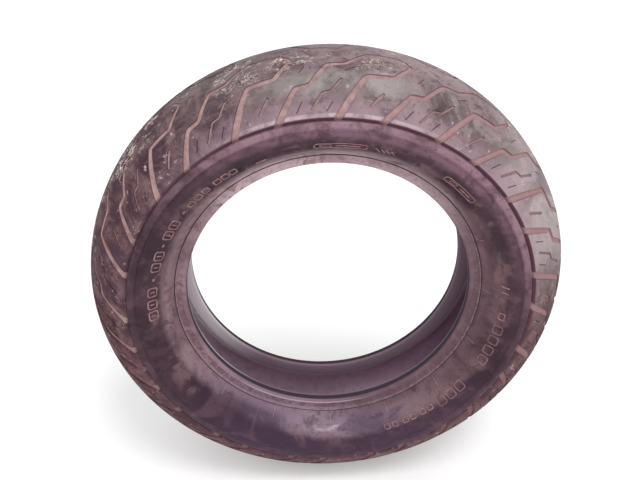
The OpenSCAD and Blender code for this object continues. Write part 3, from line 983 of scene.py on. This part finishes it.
# Marks: places round the axis in degrees, how far inwards of the band's middle, size, and the line's width.
# A cell's size is (degrees wide, millimetres high), a capsule's is its height, and a bar's is its rise.
CODE_CELLS = (182.2, 177.9, 173.2, 163.6, 159.2, 151.0, 146.8)
CELL_ROWS = [
    (CODE_CELLS, 0.0, (3.2, 12.4), 1.9),
    ((137.6, 134.4, 131.2, 126.6, 123.6, 120.8), 0.5, (2.2, 8.5), 1.7),
    ((353.8,), 0.0, (2.4, 8.0), 2.0),
    ((291.6, 294.6, 298.6, 301.6, 305.6, 308.6), 1.0, (2.0, 7.0), 1.3),
]
WORN_CELLS = [(313.6, 317.9, 322.2, 335.4, 339.7, 344.0, 348.3), 0.0, (3.0, 13.0), 2.0]
CAPSULES = [
    (79.4, 95.4, 1.0, 9.0, 1.5),
    (90.2, 93.6, 1.0, 4.4, 1.3),
    (40.6, 53.4, 0.0, 9.0, 1.5),
    (48.6, 51.4, 0.0, 4.0, 1.3),
]
BARS = [
    (82.0, 88.6, 1.0, 0.0, 2.6),
    (43.0, 47.0, 0.0, 0.0, 2.4),
    (110.4, 113.4, 6.0, 0.0, 2.2),
    (3.0, 3.4, 0.0, 9.0, 2.0),
    (5.2, 5.6, 0.0, 9.0, 2.0),
    *[(a, a + 0.05, 0.0, 5.4, 1.7) for a in CODE_CELLS],
    *[(a - 0.2, a + 0.2, 0.0, 0.0, 3.4) for a in (168.4, 155.1, 141.4)],
    *[(a, a + 1.3, 1.5, -5.0, 1.5) for a in (70.8, 72.4, 74.0, 75.6)],
]
PAD = (228.4, 229.2, 0.0, 2.0, 8.8)
SIDEWALL_COUNT = 240
SIDEWALL_STEPS = 24


def sidewall_line(start, end, steps):
    return [bezier(SIDEWALL_CURVE, t) for t in np.linspace(start, end, steps)]


def sidewall_skin():
    line = LEDGE + SHOULDER_RIB + THIN_RIB + sidewall_line(0.0, RIM_STRIP_FROM, SIDEWALL_STEPS)
    relief = np.array(line) - inward(line) * MARK_HEIGHT
    return Skin(line, relief)


def cell(middle, v, width, height, corner=0.3):
    """A closed outline of a rounded cell: middle and width in degrees, v and height in millimetres."""
    w, h, k = width / 2, height / 2, 1 - corner
    return [
        (middle - w, v - h * k), (middle - w * k, v - h), (middle + w * k, v - h), (middle + w, v - h * k),
        (middle + w, v + h * k), (middle + w * k, v + h), (middle - w * k, v + h), (middle - w, v + h * k),
    ]


def capsule(start, end, v, height):
    """A closed outline with round ends, from start to end in degrees."""
    reach = math.degrees(height / 2 / MARK_BAND_R)
    ends = [(end - reach, 90), (start + reach, 270)]
    return [
        (middle + reach * math.sin(math.radians(a)), v + height / 2 * math.cos(math.radians(a)))
        for middle, first in ends
        for a in np.arange(first - 90, first + 91, 22.5)
    ]


def sidewall_marks(skin):
    """Generic raised marks in the places of the moulded ones: no letters, numbers or signs with a meaning."""
    middle = skin.v_at_radius(MARK_BAND_R, after=PAST_RIBS_V)

    def cells(angles, inwards, size, width, levels=MARK_LEVELS):
        return [Stroke(cell(a, middle + inwards, *size), width / 2, levels, closed=True) for a in angles]

    def outline(start, end, inwards, height, width):
        return Stroke(capsule(start, end, middle + inwards, height), width / 2, MARK_LEVELS, closed=True)

    def bar(start, end, inwards, rise, width, levels=MARK_LEVELS):
        v = middle + inwards
        return Stroke([(start, v - rise / 2), (end, v + rise / 2)], width / 2, levels)

    marks = [mark for row in CELL_ROWS for mark in cells(*row)]
    marks += cells(*WORN_CELLS, WORN_LEVELS)
    marks += [outline(*capsule_row) for capsule_row in CAPSULES]
    return [*marks, *[bar(*bar_row) for bar_row in BARS], bar(*PAD, PAD_LEVELS)]


def make_sidewall(side, name, node):
    skin = sidewall_skin()
    shell = Shell()
    first, last = shell.relief_skin(skin, side, skin.v, SIDEWALL_COUNT, sidewall_marks(skin))
    shell.back(SIDEWALL_BACK, side, SIDEWALL_COUNT, first, last)
    piece = shell.build(name, SIDEWALL)
    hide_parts(node)


# ---- rim strips and liner ----

VENTS = 16
VENT_START = 0.9
VENT_R = (209.0, 218.5)
VENT_HEIGHT = 0.5
VENT_HALF = 0.3
VENT_LEVELS = [(0.15, 0.0), (-0.1, 1.0)]
HEEL_STEPS = 10
RIM_STRIP_STEPS = 9
LINER_STEPS = 3


def vent_lines(skin):
    """The thin radial lines that the mould's vents leave on the lower sidewall."""
    low, high = skin.v_at_radius(VENT_R[1]), skin.v_at_radius(VENT_R[0])
    return [Stroke([(a, low), (a, high)], VENT_HALF, VENT_LEVELS) for a in VENT_START + evenly(VENTS)]


def make_rim_strip(side, name, node):
    heel = [
        (FLANGE_Y - HEEL_R + HEEL_R * math.cos(a), SEAT_R + HEEL_R - HEEL_R * math.sin(a))
        for a in np.radians(np.linspace(0, 90, HEEL_STEPS))
    ]
    line = sidewall_line(RIM_STRIP_FROM, 1.0, RIM_STRIP_STEPS) + RIM_LINE + BEAD_FACE + heel + TOE
    skin = Skin(line, np.array(line) - inward(line) * VENT_HEIGHT)
    shell = Shell()
    first, last = shell.relief_skin(skin, side, skin.v, SIDEWALL_COUNT, vent_lines(skin))
    shell.back(RIM_STRIP_BACK[::-1], side, SIDEWALL_COUNT, first, last)
    piece = shell.build(name, RIM_STRIP)
    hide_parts(node)


def make_liner():
    half = spline(LINER, LINER_STEPS)
    whole = [(-y, r) for y, r in half[:0:-1]] + [(y, r) for y, r in half]
    outside = [(y - d[0] * LINER_T, r - d[1] * LINER_T) for (y, r), d in zip(whole, inward(whole))]
    shell = Shell()
    rings = [shell.ring(y, r, evenly(SIDEWALL_COUNT)) for y, r in whole + outside[::-1]]
    for a, b in zip(rings, rings[1:] + rings[:1]):
        shell.strip(a, b)
    piece = shell.build("inner_liner_smooth", LINING)
    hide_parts("inner_liner")


make_tread()
make_sidewall(RIGHT, "sidewall_right_moulded", "sidewall_right")
make_sidewall(LEFT, "sidewall_left_moulded", "sidewall_left")
make_rim_strip(RIGHT, "rim_strip_right_smooth", "rim_strip_right")
make_rim_strip(LEFT, "rim_strip_left_smooth", "rim_strip_left")
make_liner()

# ---- stage, light and camera ----

FLOOR_Z = -CROWN_R * MM
FLOOR_REACH = 12.0
FLOOR_GLOW = 0.24
WORLD_STRENGTH = 0.78
WHITE = (1.0, 1.0, 1.0, 1.0)


def pale_floor():
    n = Nodes("pale_floor")
    grain = n.noise(n.position, 3.0, 3.0, 0.5)
    color = n.mix(grain, (0.8, 0.8, 0.8), (0.84, 0.84, 0.84))
    glow = {"Emission Color": WHITE, "Emission Strength": FLOOR_GLOW}
    return n.finish(color, 0.9, n.bump(grain, 1.0, 0.1), specular=0.1, others=glow)


def make_floor():
    mesh = bpy.data.meshes.new("floor")
    corners = [(-1, -1), (1, -1), (1, 1), (-1, 1)]
    mesh.from_pydata([(x * FLOOR_REACH, y * FLOOR_REACH, FLOOR_Z) for x, y in corners], [], [(0, 1, 2, 3)])
    mesh.materials.append(pale_floor())
    floor = bpy.data.objects.new("floor", mesh)
    bpy.context.scene.collection.objects.link(floor)


def lamp(name, light, place):
    """A light at place, turned towards the tire."""
    holder = bpy.data.objects.new(name, light)
    holder.location = place
    holder.rotation_euler = (-Vector(place)).to_track_quat("-Z", "Y").to_euler()
    bpy.context.scene.collection.objects.link(holder)


def sun_light(name, place, strength, angle_deg):
    light = bpy.data.lights.new(name, "SUN")
    light.energy = strength
    light.angle = math.radians(angle_deg)
    lamp(name, light, place)


def area_light(name, place, size, power):
    light = bpy.data.lights.new(name, "AREA")
    light.size = size
    light.energy = power
    lamp(name, light, place)


CAMERA_AT = Vector((-0.0635, -1.0483, 0.6784))
CAMERA_AIM = Vector((-0.0192, 0.0, 0.0535))
LENS_MM = 51.6
SENSOR_MM = 36.0

make_floor()
sun_light("key", place=(0.4, -0.85, 2.2), strength=1.1, angle_deg=20.0)
sun_light("front_fill", place=(0.1, -1.6, 0.7), strength=0.3, angle_deg=60.0)
area_light("gloss", place=(0.25, -1.5, 1.7), size=0.5, power=4.0)

world = bpy.data.worlds.new("studio")
world.use_nodes = True
world.node_tree.nodes["Background"].inputs["Color"].default_value = WHITE
world.node_tree.nodes["Background"].inputs["Strength"].default_value = WORLD_STRENGTH
scene = bpy.context.scene
scene.world = world
scene.view_settings.view_transform = "Standard"

camera_data = bpy.data.cameras.new("camera")
camera_data.lens = LENS_MM
camera_data.sensor_width = SENSOR_MM
camera = bpy.data.objects.new("camera", camera_data)
camera.location = CAMERA_AT
camera.rotation_euler = (CAMERA_AIM - CAMERA_AT).to_track_quat("-Z", "Y").to_euler()
scene.collection.objects.link(camera)
scene.camera = camera
